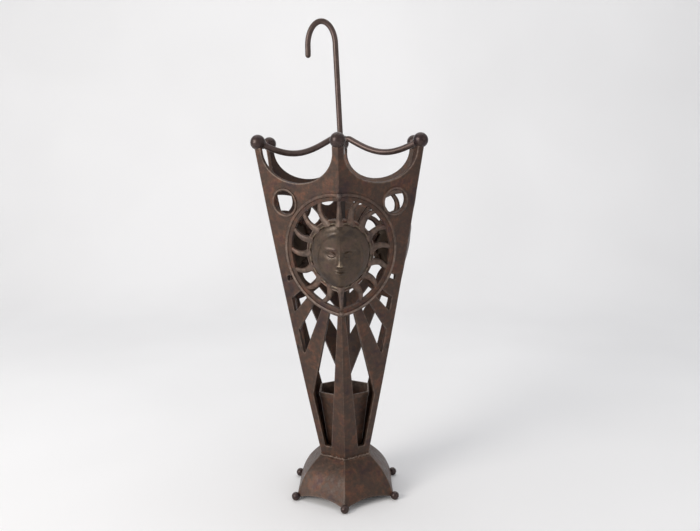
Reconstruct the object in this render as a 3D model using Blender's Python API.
"""Cast iron umbrella stand: a six-sided upturned umbrella with three sun medallions and a lift-out drip cup.

Metres, +Z up. The stand rests on z = 0 and its axis is the Z axis. The body is three castings, each folded
along its middle ridge and welded to its neighbours along the seams.
"""

import math

import bmesh
import bpy
from mathutils import Matrix, Vector
from mathutils.geometry import delaunay_2d_cdt

# Clearance between pieces that touch
GAP = 0.0003

# Body: vertex radius at the foot and at the ball centres, wall and heights
NECK_Z = 0.0714
NECK_RADIUS = 0.0475
RIM_Z = 0.6188
RIM_RADIUS = 0.1579
WALL = 0.006
SOLID_BAND = 0.0200

# Rim balls and the scalloped edge that hangs between their posts
BALL_INSET = 0.0079
BALL_RADIUS = 0.0122
POST_DROP = 0.0092
POST_HALF_WIDTH = 0.0110
SCALLOP_DEPTH = 0.0505
SCALLOP_START = 0.0056

# Round holes near the seams
HOLE_DROP = 0.0959
HOLE_FROM_SEAM = 0.0378
HOLE_RADIUS = 0.0190

# Sun medallion, laid out round a centre on the ridge
SUN_DROP = 0.1795
SUN_OPENING = 0.0963
SUN_RING_WIDTH = 0.0070
SUN_THICKNESS = 0.0060
SUN_RAISE = 0.0015
SUN_DISC = 0.0550
RAYS = 16
RAY_ROOT_HALF_WIDTH = 0.0062
RAY_TIP_HALF_WIDTH = 0.0036
RAY_BOW = math.radians(5.0)
FACE_RADIUS = 0.0520
FACE_DOME = 0.0120
FACE_RIM = 0.0020
BOSS_RADIUS = 0.0052
BOSS_HEIGHT = 0.0030

# Straight bars that radiate from the sun
BAR_PITCH = math.radians(17.0)
BAR_HALF_ANGLE = math.radians(4.3)
BAR_RING = 0.1040
SEAM_STRIP = 0.0120

# Weld fillets
SEAM_WELD = 0.0040
NECK_WELD = 0.0022

# Base
BASE_SHOULDER = 0.0025
BASE_WALL = 0.0050
BASE_SPREAD = 0.0490
BASE_RIB_END_Z = 0.0095
BASE_RIB_BULGE = 0.0046
HEM_RISE = 0.0075
FOOT_REACH = 0.0035
FOOT_RADIUS = 0.0073
FOOT_FLAT_RADIUS = 0.0030
FLOOR_PLATE = 0.0060

# Fastener through the base and the floor plate
BOLT_RADIUS = 0.0040
BOLT_HEAD_RADIUS = 0.0080
BOLT_HEAD_HEIGHT = 0.0032
WASHER_RADIUS = 0.0100
WASHER_THICKNESS = 0.0016
NUT_ACROSS_FLATS = 0.0130
NUT_HEIGHT = 0.0065
BOLT_STICKOUT = 0.0025

# Drip cup
CUP_BOTTOM_RADIUS = 0.0324
CUP_RIM_RADIUS = 0.0495
CUP_HEIGHT = 0.1096
CUP_WALL = 0.0030
CUP_LIP_HEIGHT = 0.0080
CUP_LIP_OUT = 0.0010

# Handle and the three arms that carry it
ROD_RADIUS = 0.0047
HOOK_WIDTH = 0.0460
HOOK_HEIGHT = 0.1981
HOOK_RISE = 0.0390
HANDLE_LEAN = 0.0055
HOOK_END_HEIGHT = 0.1396
HUB_RADIUS = 0.0084
HUB_HEIGHT = 0.0120
ARM_RADIUS = 0.0050
ARM_RISE = 0.0047
ARM_FLAT = 0.0180
ARM_SAG = 0.0205
HANDLE_NUT_ACROSS = 0.0135
HANDLE_NUT_HEIGHT = 0.0055

CORNERS = {"front": 270, "front_right": 330, "back_right": 30, "back": 90, "back_left": 150, "front_left": 210}
CASTINGS = {"front": 270, "back_right": 30, "back_left": 150}
SEAMS = {"front_right": 330, "back": 90, "front_left": 210}

# Worked out from the sizes above
TAPER = (RIM_RADIUS - NECK_RADIUS) / (RIM_Z - NECK_Z)
COS30 = math.cos(math.radians(30))
BALL_CIRCLE = RIM_RADIUS - BALL_INSET
SUN_Z = RIM_Z - SUN_DROP
HOLE_Z = RIM_Z - HOLE_DROP
BASE_TOP_RADIUS = NECK_RADIUS + BASE_SHOULDER
BASE_RIB_RADIUS = NECK_RADIUS + BASE_SPREAD
BASE_CHORD = math.hypot(BASE_SPREAD - BASE_SHOULDER, NECK_Z - BASE_RIB_END_Z)
FOOT_CIRCLE = BASE_RIB_RADIUS + FOOT_REACH
CUP_FOOT_Z = NECK_Z + FLOOR_PLATE + 2 * GAP
CUP_RIM_Z = CUP_FOOT_Z + CUP_HEIGHT
ARM_HUB_Z = RIM_Z + ARM_RISE
HUB_LOW_Z = ARM_HUB_Z - HUB_HEIGHT / 2
HANDLE_NUT_Z = HUB_LOW_Z - GAP - HANDLE_NUT_HEIGHT
HOOK_TOP_Z = RIM_Z + HOOK_HEIGHT
HOOK_END_Z = RIM_Z + HOOK_END_HEIGHT


def clear_scene():
    for obj in list(bpy.data.objects):
        bpy.data.objects.remove(obj, do_unlink=True)


def make_material(name, color, roughness, metallic):
    material = bpy.data.materials.new(name)
    material.use_nodes = True
    shader = material.node_tree.nodes["Principled BSDF"]
    shader.inputs["Base Color"].default_value = (*color, 1.0)
    shader.inputs["Roughness"].default_value = roughness
    shader.inputs["Metallic"].default_value = metallic
    return material


def add_object(name, data, material, parent, smooth_angle=None):
    obj = bpy.data.objects.new(name, data)
    bpy.context.scene.collection.objects.link(obj)
    obj.parent = parent
    data.materials.clear()
    data.materials.append(material)
    if smooth_angle is not None:
        data.shade_smooth()
        data.set_sharp_from_angle(angle=math.radians(smooth_angle))
    return obj


def mesh_from(name, vertices, faces):
    """A closed mesh with its faces turned outwards."""
    mesh = bpy.data.meshes.new(name)
    mesh.from_pydata([tuple(vertex) for vertex in vertices], [], faces)
    bm = bmesh.new()
    bm.from_mesh(mesh)
    bmesh.ops.recalc_face_normals(bm, faces=bm.faces)
    bm.to_mesh(mesh)
    bm.free()
    return mesh


def on_circle(radius, degrees, z):
    angle = math.radians(degrees)
    return Vector((radius * math.cos(angle), radius * math.sin(angle), z))


def vertex_radius(z):
    """Radius of the body's outer corner, which is also the width of each side, at height z."""
    return NECK_RADIUS + TAPER * (z - NECK_Z)


def turned(name, profile, sides, start_degrees=0.0):
    """A solid of revolution from a closed list of (radius, z), or a prism on a few sides."""
    vertices = []
    rings = []
    for radius, z in profile:
        if radius < 1e-6:
            rings.append([len(vertices)] * sides)
            vertices.append(Vector((0, 0, z)))
            continue
        rings.append(list(range(len(vertices), len(vertices) + sides)))
        vertices += [on_circle(radius, start_degrees + 360 * i / sides, z) for i in range(sides)]
    faces = []
    for ring, following in zip(rings, rings[1:] + rings[:1]):
        for i in range(sides):
            j = (i + 1) % sides
            corners = [ring[i], ring[j], following[j], following[i]]
            corners = [c for k, c in enumerate(corners) if c != corners[k - 1]]
            if len(corners) > 2:
                faces.append(corners)
    return mesh_from(name, vertices, faces)


def subtract(obj, cutter):
    cutter.hide_render = True
    cutter.display_type = "WIRE"
    modifier = obj.modifiers.new("Cut " + cutter.name, "BOOLEAN")
    modifier.operation = "DIFFERENCE"
    modifier.solver = "EXACT"
    modifier.object = cutter


def sphere_into(bm, radius, centre, segments, rings):
    bmesh.ops.create_uvsphere(
        bm,
        u_segments=segments,
        v_segments=rings,
        radius=radius,
        matrix=Matrix.Translation(centre),
    )


def mesh_of(bm, name):
    mesh = bpy.data.meshes.new(name)
    bm.to_mesh(mesh)
    bm.free()
    return mesh


def ball_seat_cutter(name, centres, radius, material, parent):
    """Spheres a little larger than the balls, which leave a dished seat for each."""
    bm = bmesh.new()
    for centre in centres:
        sphere_into(bm, radius + GAP, centre, 14, 9)
    return add_object(name, mesh_of(bm, name), material, parent)


class Fold:
    """The plane of two neighbouring sides, unfolded about the ridge between them.

    u runs across from the ridge and v along it, up from the sun's centre; w is the distance out of the face.
    """

    def __init__(self, degrees):
        self.out = on_circle(1.0, degrees, 0.0)
        ridge = on_circle(TAPER, degrees, 1.0)
        self.stretch = ridge.length
        self.ridge = ridge.normalized()
        self.centre = on_circle(vertex_radius(SUN_Z), degrees, SUN_Z)
        self.sides = {side: self.side_frame(degrees, side) for side in (-1, 1)}
        normals = [self.sides[side]["normal"] for side in (-1, 1)]
        self.ridge_mitre = (normals[0] + normals[1]) / (1 + normals[0].dot(normals[1]))
        frame = self.sides[1]
        self.lean_cos = frame["along"].dot(frame["across"])
        self.lean_sin = -frame["along"].dot(self.ridge)

    def side_frame(self, degrees, side):
        azimuth = degrees + 30 * side
        along = side * on_circle(1.0, azimuth + 90, 0.0)
        across = (along - along.dot(self.ridge) * self.ridge).normalized()
        normal = on_circle(1.0, azimuth, -TAPER * COS30).normalized()
        neighbour = on_circle(1.0, azimuth + 60 * side, -TAPER * COS30).normalized()
        mitre = (normal + neighbour) / (1 + normal.dot(neighbour))
        return {"along": along, "across": across, "normal": normal, "mitre": mitre}

    def uv(self, distance, z):
        """The point a level distance from the ridge along a side, at height z."""
        return distance * self.lean_cos, (z - SUN_Z) * self.stretch - distance * self.lean_sin

    def height(self, u, v):
        return SUN_Z + (v + abs(u) / self.lean_cos * self.lean_sin) / self.stretch

    def from_seam(self, u, v):
        return vertex_radius(self.height(u, v)) - abs(u) / self.lean_cos

    def point(self, u, v, w):
        frame = self.sides[1 if u >= 0 else -1]
        base = self.centre + v * self.ridge + abs(u) * frame["across"]
        if abs(u) < 1e-6:
            return base + w * self.ridge_mitre
        if self.from_seam(u, v) < 2 * GAP:
            return base + w * frame["mitre"]
        return base + w * frame["normal"]


def inside(point, loop):
    """Even-odd test of a flat point against a closed loop."""
    x, y = point
    hit = False
    for (x0, y0), (x1, y1) in zip(loop, loop[1:] + loop[:1]):
        if (y0 > y) != (y1 > y) and x < x0 + (y - y0) * (x1 - x0) / (y1 - y0):
            hit = not hit
    return hit


def folded_plate(name, fold, outline, holes, creases, low, high):
    """A plate between the depths low and high, cut to an outline with holes and folded at the creases."""
    points = []
    edges = []
    for loop in [outline] + holes:
        first = len(points)
        points += loop
        edges += [(first + i, first + (i + 1) % len(loop)) for i in range(len(loop))]
    boundary = len(edges)
    index = {(round(u, 7), round(v, 7)): i for i, (u, v) in enumerate(points)}
    for crease in creases:
        chain = []
        for u, v in crease:
            key = (round(u, 7), round(v, 7))
            if key not in index:
                index[key] = len(points)
                points.append((u, v))
            chain.append(index[key])
        edges += list(zip(chain, chain[1:]))
    flat = [Vector(point) for point in points]
    result = delaunay_2d_cdt(flat, edges, [], 0, 1e-9)
    triangles = []
    for triangle in result[2]:
        middle = sum((result[0][i] for i in triangle), Vector((0, 0))) / 3
        if inside(middle, outline) and not any(inside(middle, hole) for hole in holes):
            triangles.append(list(triangle))
    count = len(points)
    vertices = [fold.point(u, v, high) for u, v in points] + [fold.point(u, v, low) for u, v in points]
    faces = triangles + [[count + i for i in reversed(triangle)] for triangle in triangles]
    faces += [[a, b, count + b, count + a] for a, b in edges[:boundary]]
    return mesh_from(name, vertices, faces)


def arc(radius, start, end, count):
    step = (end - start) / count
    return [(radius * math.cos(start + i * step), radius * math.sin(start + i * step)) for i in range(count + 1)]


def mirrored(loop):
    return [(-u, v) for u, v in reversed(loop)]


def scallop(fold):
    """The hanging curve of one side's top edge, from its seam post to its ridge post."""
    top = RIM_Z - POST_DROP
    start = top - SCALLOP_START
    count = 14
    half = vertex_radius(start) / 2 - POST_HALF_WIDTH
    points = []
    for i in range(count + 1):
        turn = math.pi * i / count
        z = start - SCALLOP_DEPTH * math.sin(turn)
        points.append(fold.uv(vertex_radius(z) / 2 + half * math.cos(turn), z))
    return points


def half_outline(fold):
    """One side's edge from the foot of the ridge round by the seam to the top of the ridge."""
    foot = NECK_Z + GAP
    top = RIM_Z - POST_DROP
    play = 0.6 * GAP
    points = [fold.uv(0, foot), fold.uv(vertex_radius(foot) - play, foot)]
    points.append(fold.uv(vertex_radius(top) - play, top))
    points.append(fold.uv(vertex_radius(top) - POST_HALF_WIDTH, top))
    points += scallop(fold)
    points += [fold.uv(POST_HALF_WIDTH, top), fold.uv(0, top)]
    return points


def polar(radius, angle):
    """A point at an angle from the ridge, swung up from straight below the sun."""
    return radius * math.sin(angle), -radius * math.cos(angle)


def strip_radius(fold, angle):
    """How far a line at this angle runs before it meets the strip along the seam."""
    near = fold.from_seam(*polar(0.0, angle)) - SEAM_STRIP
    far = fold.from_seam(*polar(1.0, angle)) - SEAM_STRIP
    return near / (near - far)


def lattice_openings(fold):
    """The wedge-shaped openings between the straight bars of one side."""
    loops = []
    slot = NECK_Z + SOLID_BAND
    for k in range(4):
        low = k * BAR_PITCH + BAR_HALF_ANGLE
        high = (k + 1) * BAR_PITCH - BAR_HALF_ANGLE
        ring = [polar(BAR_RING, low + (high - low) * i / 3) for i in range(4)]
        if k:
            corners = [polar(strip_radius(fold, high), high), polar(strip_radius(fold, low), low)]
        else:
            corners = [polar(strip_radius(fold, high), high), fold.uv(vertex_radius(slot) - SEAM_STRIP, slot)]
            corners.append(rib_foot(fold, low, slot))
        loops.append(ring + corners)
    return loops


def rib_foot(fold, angle, z):
    """Where a line at this angle crosses the height z."""
    near = fold.height(*polar(0.0, angle)) - z
    far = fold.height(*polar(1.0, angle)) - z
    return polar(near / (near - far), angle)


def round_hole(fold):
    u, v = fold.uv(vertex_radius(HOLE_Z) - HOLE_FROM_SEAM, HOLE_Z)
    return [(u + x, v + y) for x, y in arc(HOLE_RADIUS, 0, 2 * math.pi, 20)[:-1]]


def sun_panel(name, degrees, material, parent):
    fold = Fold(degrees)
    half = half_outline(fold)
    outline = half + mirrored(half)[1:-1]
    sun = arc(SUN_OPENING, -math.pi / 2, 1.5 * math.pi, 48)[:-1]
    side_holes = lattice_openings(fold) + [round_hole(fold)]
    holes = [snapped(sun)] + side_holes + [mirrored(hole) for hole in side_holes]
    creases = [[half[0], (0.0, -SUN_OPENING)], [(0.0, SUN_OPENING), half[-1]]]
    mesh = folded_plate(name, fold, outline, holes, creases, -WALL, 0.0)
    panel = add_object(name, mesh, material, parent)
    seats = [on_circle(BALL_CIRCLE, degrees + turn, RIM_Z) for turn in (-60, 0, 60)]
    subtract(panel, ball_seat_cutter(name + "_seats", seats, BALL_RADIUS, material, parent))
    return panel


def snapped(loop):
    """The loop with the points that meet the ridge put exactly on it."""
    return [(0.0 if abs(u) < 1e-7 else u, v) for u, v in loop]


def ray_edge(k, side, radius):
    """Angle of one edge of ray k at this radius. The two rays on the ridge are straight."""
    root = SUN_DISC
    tip = SUN_OPENING - GAP - SUN_RING_WIDTH
    share = (radius - root) / (tip - root)
    half_width = RAY_ROOT_HALF_WIDTH + (RAY_TIP_HALF_WIDTH - RAY_ROOT_HALF_WIDTH) * share
    bow = 0.0 if k % (RAYS // 2) == 0 else RAY_BOW * math.sin(math.pi * min(max(share, 0.0), 1.0))
    return math.pi / 2 + 2 * math.pi * k / RAYS + bow + side * half_width / radius


def ray_gap(k):
    """The opening between ray k and the next, with a round inner end."""
    root = SUN_DISC
    tip = SUN_OPENING - GAP - SUN_RING_WIDTH
    radii = [root + (tip - root) * share for share in (0.1, 0.4, 0.7, 1.0)]
    rising = [(r, ray_edge(k, 1, r)) for r in radii]
    falling = [(r, ray_edge(k + 1, -1, r)) for r in reversed(radii)]
    top = [(tip, rising[-1][1] + (falling[0][1] - rising[-1][1]) * i / 3) for i in (1, 2)]
    bottom = [(root, (rising[0][1] + falling[-1][1]) / 2)]
    return [(r * math.cos(a), r * math.sin(a)) for r, a in rising + top + falling + bottom]


def sun_rays(name, degrees, material, parent):
    """The raised ring, the curved rays and the disc behind the face, in one folded casting."""
    fold = Fold(degrees)
    outer = SUN_OPENING - GAP
    outline = snapped(arc(outer, -math.pi / 2, 1.5 * math.pi, 48)[:-1])
    holes = [ray_gap(k) for k in range(RAYS)]
    creases = [[(0.0, -outer), (0.0, 0.0), (0.0, outer)]]
    mesh = folded_plate(name, fold, outline, holes, creases, SUN_RAISE - SUN_THICKNESS, SUN_RAISE)
    return add_object(name, mesh, material, parent)


def bump(x, y, width, height):
    return math.exp(-((x / width) ** 2) - (y / height) ** 2)


def face_relief(x, y):
    """Height of a calm, plain face above its dome, on a head one unit in radius."""
    side = abs(x)
    nose = 0.30 * bump(x, y + 0.06, 0.10, 0.24) + 0.16 * bump(x, y + 0.20, 0.15, 0.09)
    brow = 0.14 * bump(side - 0.30, y - 0.24, 0.24, 0.09)
    socket = -0.14 * bump(side - 0.31, y - 0.09, 0.17, 0.10)
    lid = 0.09 * bump(side - 0.31, y - 0.08, 0.13, 0.055)
    cheek = 0.08 * bump(side - 0.42, y + 0.20, 0.22, 0.20)
    lips = 0.11 * bump(x, y + 0.40, 0.20, 0.045) + 0.10 * bump(x, y + 0.49, 0.17, 0.045)
    chin = 0.12 * bump(x, y + 0.72, 0.22, 0.13)
    return nose + brow + socket + lid + cheek + lips + chin


def relief(name, fold, middle_v, radius, base, rings, sectors, height):
    """A raised piece on the ridge. Its back follows the fold and height(x, y) gives its front."""
    back = []
    front = []
    for ring in range(rings + 1):
        for sector in range(sectors if ring else 1):
            angle = math.pi / 2 + 2 * math.pi * sector / sectors
            x = ring / rings * math.cos(angle)
            y = ring / rings * math.sin(angle)
            x = 0.0 if abs(x) < 1e-6 else x
            foot = fold.point(x * radius, middle_v + y * radius, base)
            back.append(foot)
            front.append(foot + height(x, y) * fold.out)
    count = len(front)
    faces = []

    def at(ring, sector):
        return 0 if ring == 0 else 1 + (ring - 1) * sectors + sector % sectors

    for ring in range(rings):
        for sector in range(sectors):
            corners = [at(ring, sector), at(ring + 1, sector), at(ring + 1, sector + 1), at(ring, sector + 1)]
            faces.append(corners if ring else corners[:3])
    rim = [at(rings, sector) for sector in range(sectors)]
    faces += [[a, b, count + b, count + a] for a, b in zip(rim, rim[1:] + rim[:1])]
    half = sectors // 2
    faces.append([count + i for i in rim[:half + 1]])
    faces.append([count + i for i in rim[half:] + rim[:1]])
    used = sorted({i for face in faces for i in face})
    number = {old: new for new, old in enumerate(used)}
    points = front + back
    return mesh_from(name, [points[i] for i in used], [[number[i] for i in face] for face in faces])


def sun_face(name, degrees, material, parent):
    fold = Fold(degrees)
    soft = 0.25

    def height(x, y):
        reach = min(math.hypot(x, y), 1.0)
        rounding = 0.5 * FACE_RADIUS * (abs(x) - math.hypot(x, soft) + soft)
        dome = FACE_DOME * math.sqrt(max(1 - reach ** 2, 0.0))
        return FACE_RIM + rounding + dome + 0.30 * FACE_RADIUS * face_relief(x, y) * (1 - reach ** 6)

    mesh = relief(name, fold, 0.0, FACE_RADIUS, SUN_RAISE + GAP, 11, 28, height)
    return add_object(name, mesh, material, parent, 50)


def ring_boss(name, degrees, end, material, parent):
    """A small domed rosette on the ridge where the ring crosses it."""
    fold = Fold(degrees)
    middle = end * (SUN_OPENING - GAP - BOSS_RADIUS)

    def height(x, y):
        return BOSS_HEIGHT * (0.4 + 0.6 * math.sqrt(max(1 - x * x - y * y, 0.0)))

    mesh = relief(name, fold, middle, BOSS_RADIUS, SUN_RAISE + GAP, 3, 12, height)
    return add_object(name, mesh, material, parent, 50)


def seam_weld(name, degrees, material, parent):
    """A fillet in the inner corner of a seam, from the floor plate to just below the posts."""
    low = NECK_Z + FLOOR_PLATE + 3 * GAP
    high = RIM_Z - POST_DROP - SCALLOP_DEPTH
    tangent = on_circle(1.0, degrees + 90, 0.0)
    ends = []
    for z in (low, high):
        corner = vertex_radius(z) - WALL / COS30 * math.hypot(1, TAPER * COS30) - 2 * GAP
        point = on_circle(corner, degrees, z)
        back = on_circle(SEAM_WELD / 2, degrees, 0.0)
        reach = SEAM_WELD / 2 * math.sqrt(3) * tangent
        ends.append([point, point - back + reach, point - back - reach])
    vertices = ends[0] + ends[1]
    faces = [[0, 1, 2], [3, 4, 5]] + [[i, (i + 1) % 3, 3 + (i + 1) % 3, 3 + i] for i in range(3)]
    return add_object(name, mesh_from(name, vertices, faces), material, parent)


def neck_weld(name, material, parent):
    """The fillet round the foot of the body, on the shoulder of the base."""
    foot = NECK_Z + GAP
    inner = vertex_radius(foot) + 2 * GAP
    profile = [
        (inner, foot),
        (inner + NECK_WELD, foot),
        (inner + TAPER * NECK_WELD + GAP, foot + NECK_WELD),
    ]
    return add_object(name, turned(name, profile, 6, 30), material, parent)


def rib_profile(count):
    """The base's rib from its shoulder to its tip, bulged outwards like an umbrella's."""
    points = []
    for i in range(count + 1):
        share = i / count
        bulge = BASE_RIB_BULGE * math.sin(math.pi * share)
        radius = BASE_TOP_RADIUS + (BASE_RIB_RADIUS - BASE_TOP_RADIUS) * share
        z = NECK_Z + (BASE_RIB_END_Z - NECK_Z) * share
        out = (NECK_Z - BASE_RIB_END_Z) / BASE_CHORD
        up = (BASE_RIB_RADIUS - BASE_TOP_RADIUS) / BASE_CHORD
        points.append((radius + bulge * out, z + bulge * up))
    return points


def along_profile(profile, share):
    place = share * (len(profile) - 1)
    i = min(int(place), len(profile) - 2)
    part = place - i
    return tuple(a + (b - a) * part for a, b in zip(profile[i], profile[i + 1]))


def base_dome(name, material, parent):
    """A hollow six-ribbed dome. Its hem arches up between the feet."""
    steps = 10
    columns = 6
    levels = 6
    outer = rib_profile(steps)
    inner = [(r - BASE_WALL / COS30, z - BASE_WALL * (1 - i / steps)) for i, (r, z) in enumerate(outer)]
    vertices = []
    faces = []

    def skin(profile):
        """Rings of points from the top edge to the hem, and the faces between them."""
        first = len(vertices)
        for level in range(levels + 1):
            for side in range(6):
                for column in range(columns):
                    across = 2 * column / columns - 1
                    hem = 1 - HEM_RISE / (NECK_Z - BASE_RIB_END_Z) * (1 - across ** 4)
                    radius, z = along_profile(profile, hem * level / levels)
                    start = on_circle(radius, 30 + 60 * side, z)
                    end = on_circle(radius, 90 + 60 * side, z)
                    vertices.append(start.lerp(end, column / columns))
        ring = 6 * columns
        for level in range(levels):
            for i in range(ring):
                j = (i + 1) % ring
                a = first + level * ring
                faces.append([a + i, a + j, a + ring + j, a + ring + i])
        return first, first + levels * ring

    outer_top, outer_hem = skin(outer)
    inner_top, inner_hem = skin(inner)
    ring = 6 * columns
    for i in range(ring):
        j = (i + 1) % ring
        faces.append([outer_hem + i, outer_hem + j, inner_hem + j, inner_hem + i])
    faces.append([outer_top + i for i in range(ring)])
    faces.append([inner_top + i for i in range(ring)])
    dome = add_object(name, mesh_from(name, vertices, faces), material, parent)
    seats = [on_circle(FOOT_CIRCLE, degrees, FOOT_RADIUS) for degrees in CORNERS.values()]
    subtract(dome, ball_seat_cutter(name + "_seats", seats, FOOT_RADIUS, material, parent))
    subtract(dome, bolt_hole(name + "_hole", material, parent))
    return dome


def bolt_hole(name, material, parent):
    low = NECK_Z - 3 * BASE_WALL
    high = NECK_Z + 3 * FLOOR_PLATE
    radius = BOLT_RADIUS + GAP
    mesh = turned(name, [(0, low), (radius, low), (radius, high), (0, high)], 16)
    return add_object(name, mesh, material, parent)


def floor_plate(name, material, parent):
    """The plate inside the foot of the body that the castings are welded to and the cup stands on."""
    low = NECK_Z + GAP
    high = low + FLOOR_PLATE
    slope = math.hypot(1, TAPER * COS30)

    def radius(z):
        return vertex_radius(z) - (WALL * slope + 1.2 * GAP) / COS30

    mesh = turned(name, [(0, low), (radius(low), low), (radius(high), high), (0, high)], 6, 30)
    plate = add_object(name, mesh, material, parent)
    subtract(plate, bolt_hole(name + "_hole", material, parent))
    sink = BOLT_HEAD_HEIGHT + GAP
    wide = BOLT_HEAD_RADIUS + GAP
    profile = [(0, high - sink), (wide, high - sink), (wide, high + sink), (0, high + sink)]
    recess = add_object(name + "_recess", turned(name + "_recess", profile, 20), material, parent)
    subtract(plate, recess)
    return plate


def base_bolt(name, material, parent):
    top = NECK_Z + GAP + FLOOR_PLATE
    shoulder = top - BOLT_HEAD_HEIGHT
    end = NECK_Z - BASE_WALL - WASHER_THICKNESS - NUT_HEIGHT - 2 * GAP - BOLT_STICKOUT
    profile = [(0, end), (BOLT_RADIUS, end), (BOLT_RADIUS, shoulder), (BOLT_HEAD_RADIUS, shoulder)]
    profile += [(BOLT_HEAD_RADIUS, top), (0, top)]
    return add_object(name, turned(name, profile, 16), material, parent, 40)


def ring_piece(name, bore, outer, low, height, sides, outer_sides, material, parent):
    """A washer or a nut: a round bore in a round or six-sided outline."""
    vertices = []
    turn = sides // outer_sides
    for z in (low, low + height):
        for i in range(sides):
            vertices.append(on_circle(bore, 360 * i / sides, z))
        for i in range(sides):
            start = on_circle(outer, 360 * (i // turn) / outer_sides, z)
            end = on_circle(outer, 360 * (i // turn + 1) / outer_sides, z)
            vertices.append(start.lerp(end, i % turn / turn))
    faces = []
    for i in range(sides):
        j = (i + 1) % sides
        in_low, in_low_next = i, j
        out_low, out_low_next = sides + i, sides + j
        faces.append([in_low, in_low_next, out_low_next, out_low])
        faces.append([2 * sides + i, 2 * sides + j, 3 * sides + j, 3 * sides + i])
        faces.append([out_low, out_low_next, 3 * sides + j, 3 * sides + i])
        faces.append([in_low, in_low_next, 2 * sides + j, 2 * sides + i])
    return add_object(name, mesh_from(name, vertices, faces), material, parent)


def drip_cup(name, material, parent):
    """The six-sided cup that stands loose on the floor plate."""
    foot = CUP_FOOT_Z
    lip = CUP_RIM_Z - CUP_LIP_HEIGHT
    slope = (CUP_RIM_RADIUS - CUP_BOTTOM_RADIUS) / (CUP_RIM_Z - foot)
    wall = CUP_WALL / COS30

    def radius(z):
        return CUP_BOTTOM_RADIUS + slope * (z - foot)

    floor = foot + CUP_WALL
    profile = [
        (0, foot),
        (radius(foot), foot),
        (radius(lip), lip),
        (radius(lip) + CUP_LIP_OUT, lip),
        (CUP_RIM_RADIUS + CUP_LIP_OUT, CUP_RIM_Z),
        (CUP_RIM_RADIUS - wall, CUP_RIM_Z),
        (radius(floor) - wall, floor),
        (0, floor),
    ]
    return add_object(name, turned(name, profile, 6, 30), material, parent)


def tube(name, points, radius, resolution, material, parent):
    curve = bpy.data.curves.new(name, "CURVE")
    curve.dimensions = "3D"
    curve.bevel_depth = radius
    curve.bevel_resolution = resolution
    curve.use_fill_caps = True
    spline = curve.splines.new("POLY")
    spline.points.add(len(points) - 1)
    for target, point in zip(spline.points, points):
        target.co = (*point, 1.0)
        target.tilt = 0.0
    spline.use_smooth = True
    return add_object(name, curve, material, parent)


def arm_height(radius):
    """The arm leaves the hub level, hangs in one swag and rises to the middle of its ball."""
    share = max((radius - ARM_FLAT) / (BALL_CIRCLE - ARM_FLAT), 0.0)
    chord = ARM_HUB_Z + (RIM_Z - ARM_HUB_Z) * share
    return chord - ARM_SAG * math.sin(math.pi * share)


def hanger_arm(name, degrees, material, parent):
    """A swagged rod whose outer end is square to the ball that it meets."""
    start = HUB_RADIUS + GAP
    end = BALL_CIRCLE - BALL_RADIUS - ARM_RADIUS
    count = 16
    points = []
    for i in range(count + 1):
        radius = start + (end - start) * i / count
        points.append(on_circle(radius, degrees, arm_height(radius)))
    ball = on_circle(BALL_CIRCLE, degrees, RIM_Z)
    points.append(ball + (BALL_RADIUS + GAP) * (points[-1] - ball).normalized())
    return tube(name, points, ARM_RADIUS, 2, material, parent)


def handle_rod(name, material, parent):
    """The shank, which leans a little to one side above its hub, and a crook that is half an ellipse."""
    low = HANDLE_NUT_Z - ROD_RADIUS / 2
    spring = HOOK_TOP_Z - HOOK_RISE
    half = HOOK_WIDTH / 2
    points = [(0, 0, low), (0, 0, HUB_LOW_Z + HUB_HEIGHT)]
    count = 20
    for i in range(count + 1):
        turn = math.pi * i / count
        across = half * math.cos(turn) - half - HANDLE_LEAN
        points.append((across, 0, spring + HOOK_RISE * math.sin(turn)))
    points.append((-HOOK_WIDTH - HANDLE_LEAN, 0, HOOK_END_Z))
    return tube(name, points, ROD_RADIUS, 3, material, parent)


def handle_hub(name, material, parent):
    return ring_piece(name, ROD_RADIUS + GAP, HUB_RADIUS, HUB_LOW_Z, HUB_HEIGHT, 18, 18, material, parent)


def rim_ball(name, degrees, material, parent):
    bm = bmesh.new()
    sphere_into(bm, BALL_RADIUS, Vector((0, 0, 0)), 14, 9)
    ball = add_object(name, mesh_of(bm, name), material, parent, 60)
    ball.location = on_circle(BALL_CIRCLE, degrees, RIM_Z)
    return ball


def foot_ball(name, degrees, material, parent):
    """A ball ground flat underneath, so that it stands on a small face."""
    lift = math.sqrt(FOOT_RADIUS ** 2 - FOOT_FLAT_RADIUS ** 2)
    bm = bmesh.new()
    sphere_into(bm, FOOT_RADIUS, Vector((0, 0, 0)), 12, 8)
    everything = bm.verts[:] + bm.edges[:] + bm.faces[:]
    cut = bmesh.ops.bisect_plane(
        bm,
        geom=everything,
        plane_co=(0, 0, -lift),
        plane_no=(0, 0, -1),
        clear_outer=True,
    )
    edges = [item for item in cut["geom_cut"] if isinstance(item, bmesh.types.BMEdge)]
    bmesh.ops.contextual_create(bm, geom=edges)
    bmesh.ops.recalc_face_normals(bm, faces=bm.faces)
    ball = add_object(name, mesh_of(bm, name), material, parent, 50)
    ball.location = on_circle(FOOT_CIRCLE, degrees, lift)
    return ball


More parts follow.
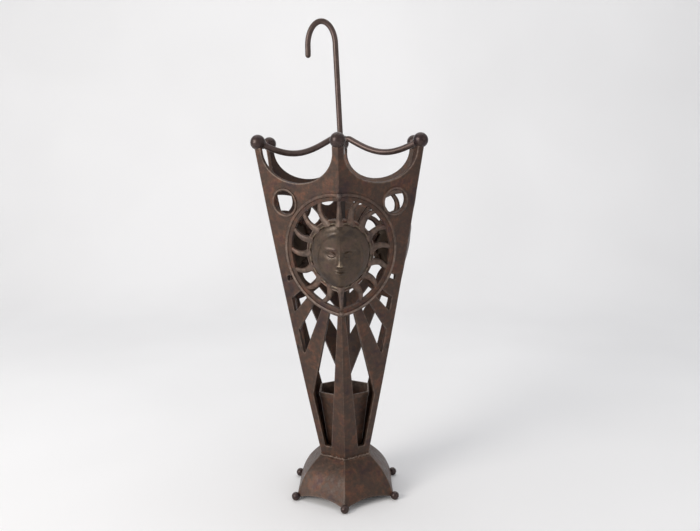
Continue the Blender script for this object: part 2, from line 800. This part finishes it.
def build():
    clear_scene()
    iron = make_material("Body iron", (0.062, 0.040, 0.033), 0.52, 0.6)
    dark = make_material("Inner iron", (0.035, 0.026, 0.023), 0.60, 0.6)
    face = make_material("Face iron", (0.060, 0.048, 0.036), 0.48, 0.6)
    rod = make_material("Rod steel", (0.085, 0.062, 0.060), 0.40, 0.8)
    steel = make_material("Fastener steel", (0.120, 0.110, 0.100), 0.45, 0.9)

    stand = bpy.data.objects.new("stand", None)
    bpy.context.scene.collection.objects.link(stand)

    base_dome("base_dome", iron, stand)
    floor_plate("floor_plate", dark, stand)
    base_bolt("base_bolt", steel, stand)
    under = NECK_Z - BASE_WALL - GAP - WASHER_THICKNESS
    bore = BOLT_RADIUS + GAP
    ring_piece("base_washer", bore, WASHER_RADIUS, under, WASHER_THICKNESS, 18, 18, steel, stand)
    nut_radius = NUT_ACROSS_FLATS / 2 / COS30
    ring_piece("base_nut", bore, nut_radius, under - GAP - NUT_HEIGHT, NUT_HEIGHT, 18, 6, steel, stand)
    neck_weld("neck_weld", iron, stand)
    for name, degrees in CORNERS.items():
        foot_ball("foot_ball_" + name, degrees, iron, stand)
        rim_ball("rim_ball_" + name, degrees, iron, stand)
    for name, degrees in CASTINGS.items():
        sun_panel("sun_panel_" + name, degrees, iron, stand)
        sun_rays("sun_rays_" + name, degrees, iron, stand)
        sun_face("sun_face_" + name, degrees, face, stand)
        ring_boss("ring_boss_top_" + name, degrees, 1, iron, stand)
        ring_boss("ring_boss_bottom_" + name, degrees, -1, iron, stand)
    for name, degrees in SEAMS.items():
        seam_weld("seam_weld_" + name, degrees, dark, stand)
        hanger_arm("hanger_arm_" + name, degrees, rod, stand)
    handle_hub("handle_hub", rod, stand)
    handle_rod("handle_rod", rod, stand)
    across = HANDLE_NUT_ACROSS / 2 / COS30
    ring_piece("handle_nut", ROD_RADIUS + GAP, across, HANDLE_NUT_Z, HANDLE_NUT_HEIGHT, 18, 6, steel, stand)
    drip_cup("drip_cup", dark, stand)


build()
